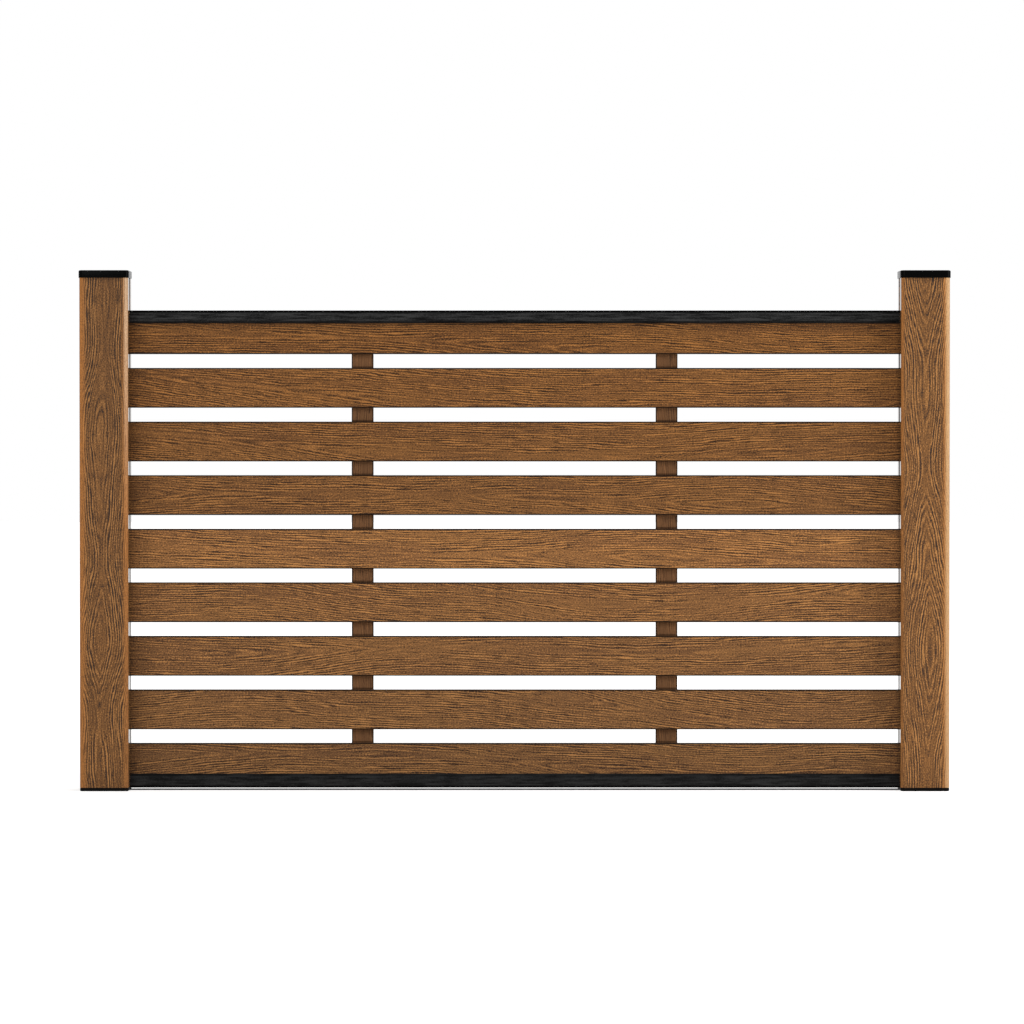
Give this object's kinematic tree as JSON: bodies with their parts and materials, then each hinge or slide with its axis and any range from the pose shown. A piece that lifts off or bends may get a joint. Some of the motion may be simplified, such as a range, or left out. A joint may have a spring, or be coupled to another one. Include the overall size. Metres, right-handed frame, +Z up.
{
  "type": "garden privacy screen",
  "caption": "Slatted wood-look garden screen: level hollow slats in black rails between two square grooved posts with black caps and base plates.",
  "frame": {"origin": "on the ground under the middle of the screen", "axes": "+X along the screen towards its right-hand post seen from the front, +Y from the front to the back where the battens are, +Z up"},
  "size_m": [1.9974, 0.1156, 1.194],
  "materials": {
    "slat_composite": "embossed wood-plastic composite, brown wood grain, matt",
    "post_composite": "embossed wood-plastic composite, brown wood grain, matt",
    "batten_composite": "embossed wood-plastic composite, brown wood grain, matt",
    "rail_aluminium": "black fine-textured powder coat on extruded aluminium",
    "black_steel": "black powder coat on steel",
    "cap_plastic": "black moulded plastic, satin",
    "spacer_plastic": "black moulded plastic, matt",
    "core_steel": "galvanised",
    "screw_steel": "stainless"
  },
  "bodies": {
    "root": {"base_plate_left": "black_steel", "base_plate_right": "black_steel", "batten_left": "batten_composite", "batten_right": "batten_composite", "batten_screws_left": "screw_steel", "batten_screws_right": "screw_steel", "bottom_rail": "rail_aluminium", "bottom_rail_screws": "screw_steel", "channel_screws_left": "screw_steel", "channel_screws_right": "screw_steel", "post_cap_left": "cap_plastic", "post_cap_right": "cap_plastic", "post_core_left": "core_steel", "post_core_right": "core_steel", "post_sleeve_left": "post_composite", "post_sleeve_right": "post_composite", "rail_packer_left": "spacer_plastic", "rail_packer_right": "spacer_plastic", "side_channel_left": "rail_aluminium", "side_channel_right": "rail_aluminium", "slat_1": "slat_composite", "slat_2": "slat_composite", "slat_3": "slat_composite", "slat_4": "slat_composite", "slat_5": "slat_composite", "slat_6": "slat_composite", "slat_7": "slat_composite", "slat_8": "slat_composite", "slat_9": "slat_composite", "spacers_left": "spacer_plastic", "spacers_right": "spacer_plastic", "tie_bar": "black_steel", "tie_bar_screws": "screw_steel", "top_rail": "rail_aluminium", "top_rail_screws": "screw_steel"}
  },
  "joints": []
}
